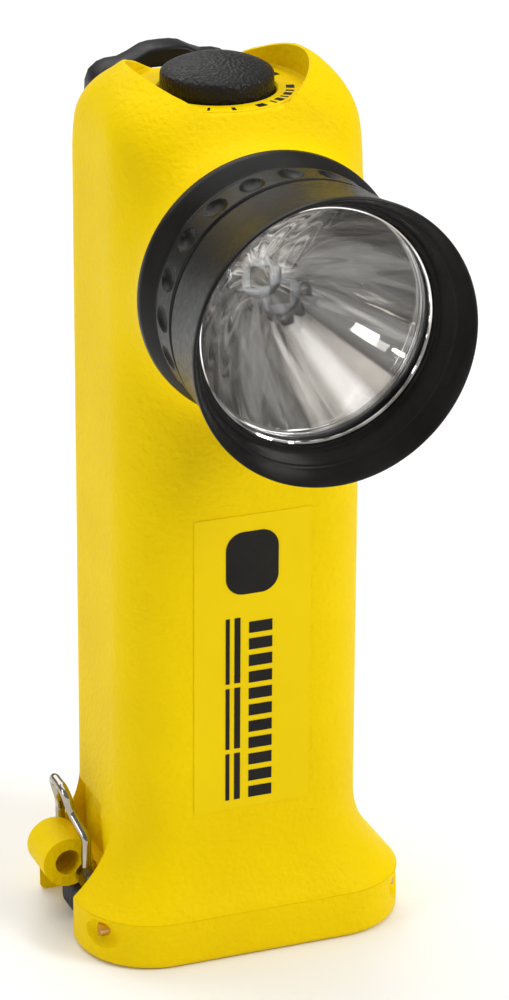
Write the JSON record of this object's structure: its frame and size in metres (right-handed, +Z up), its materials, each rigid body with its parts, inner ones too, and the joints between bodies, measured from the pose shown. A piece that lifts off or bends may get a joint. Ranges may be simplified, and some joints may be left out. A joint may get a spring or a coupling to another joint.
{
  "type": "right-angle firefighter flashlight",
  "caption": "Upright right-angle firefighter flashlight with a screw-on lamp head, top push button, back clip, latched battery door and a hinged wire ring.",
  "frame": {"origin": "centre of the base plane, on the column's axis", "axes": "+Z up along the column, -Y the way the lamp head points, +X the hinge side of the battery door"},
  "size_m": [0.0713, 0.0941, 0.1771],
  "materials": {
    "yellow_shell": "fine spark texture",
    "black_polymer": "fine pebble texture",
    "black_rubber": "matte",
    "clear_lens": "polished",
    "bright_reflector": "mirror",
    "steel_wire": "polished",
    "spring_steel": "drawn wire",
    "aluminium": "machined",
    "circuit_board": "solder mask",
    "chip_black": "moulded",
    "led_phosphor": "domed",
    "cell_wrap": "sleeve",
    "contact_nickel": "nickel plated",
    "brass_contact": "plated",
    "label_film": "clear film over yellow",
    "label_print": "printed ink",
    "red_wire": "insulated"
  },
  "bodies": {
    "housing": {"body_shell": "yellow_shell", "mode_ring": "yellow_shell", "front_label": "label_film", "label_marks": "label_print", "button_spring": "spring_steel", "stem_seal": "black_rubber", "switch_housing": "black_polymer", "switch_board": "circuit_board", "tact_switch": "chip_black", "neck_o_ring": "black_rubber", "reflector": "bright_reflector", "led_board": "aluminium", "led_emitter": "led_phosphor", "led_screws": "spring_steel", "heat_sink": "aluminium", "driver_board": "circuit_board", "driver_components": "chip_black", "battery_carrier": "black_polymer", "carrier_contacts": "contact_nickel", "top_terminal": "contact_nickel", "lead_wires": "red_wire", "battery_cell_1": "cell_wrap", "battery_cell_2": "cell_wrap", "battery_cell_3": "cell_wrap", "battery_cell_4": "cell_wrap", "hinge_pin": "spring_steel", "latch_pin": "spring_steel", "latch_spring": "spring_steel", "clip_bracket": "black_polymer", "clip_screws": "spring_steel", "clip_pin": "spring_steel", "clip_spring": "spring_steel"},
    "button": {"button_cap": "black_polymer", "button_stem": "black_polymer"},
    "clip": {"clip_lever": "black_polymer"},
    "ring": {"attachment_ring": "steel_wire"},
    "latch": {"latch_lever": "yellow_shell"},
    "door": {"battery_door": "yellow_shell", "door_gasket": "black_rubber", "door_contact_plate": "contact_nickel", "door_contact_springs": "spring_steel", "charge_contacts": "brass_contact", "latch_bumper": "black_rubber"},
    "lens_carrier": {"lens": "clear_lens", "lens_gasket": "black_rubber"},
    "cap": {"face_cap": "black_polymer"}
  },
  "joints": [
    {"name": "button_press", "type": "slide", "parent": "housing", "child": "button", "axis": [0, 0, -1], "range_m": [0, 0.0016], "stiffness_N_per_m": 1200, "springref_m": -0.0004, "deforming": ["button_spring"]},
    {"name": "clip_pivot", "type": "hinge", "parent": "housing", "child": "clip", "pos_m": [0, 0.0294, 0.149], "axis": [1, 0, 0], "range_deg": [0, 20], "stiffness_Nm_per_rad": 1.2, "springref_deg": -5.73},
    {"name": "ring_swing", "type": "hinge", "parent": "housing", "child": "ring", "pos_m": [-0.0282, 0, 0.011], "axis": [0, -1, 0], "range_deg": [0, 95]},
    {"name": "latch_swing", "type": "hinge", "parent": "housing", "child": "latch", "pos_m": [-0.0282, 0, 0.011], "axis": [0, 1, 0], "range_deg": [0, 18], "stiffness_Nm_per_rad": 0.05, "springref_deg": -5.73},
    {"name": "door_swing", "type": "hinge", "parent": "housing", "child": "door", "pos_m": [0.0318, 0, 0.006], "axis": [0, -1, 0], "range_deg": [0, 95]},
    {"name": "cap_advance", "type": "slide", "parent": "housing", "child": "lens_carrier", "axis": [0, -1, 0], "range_m": [0, 0.004]},
    {"name": "cap_turn", "type": "hinge", "parent": "lens_carrier", "child": "cap", "pos_m": [0, -0.04, 0.1406], "axis": [0, -1, 0], "range_deg": [0, 720]}
  ],
  "couplings": [
    {"joint": "cap_advance", "follows": "cap_turn", "m_per_rad": 0.00031831}
  ]
}
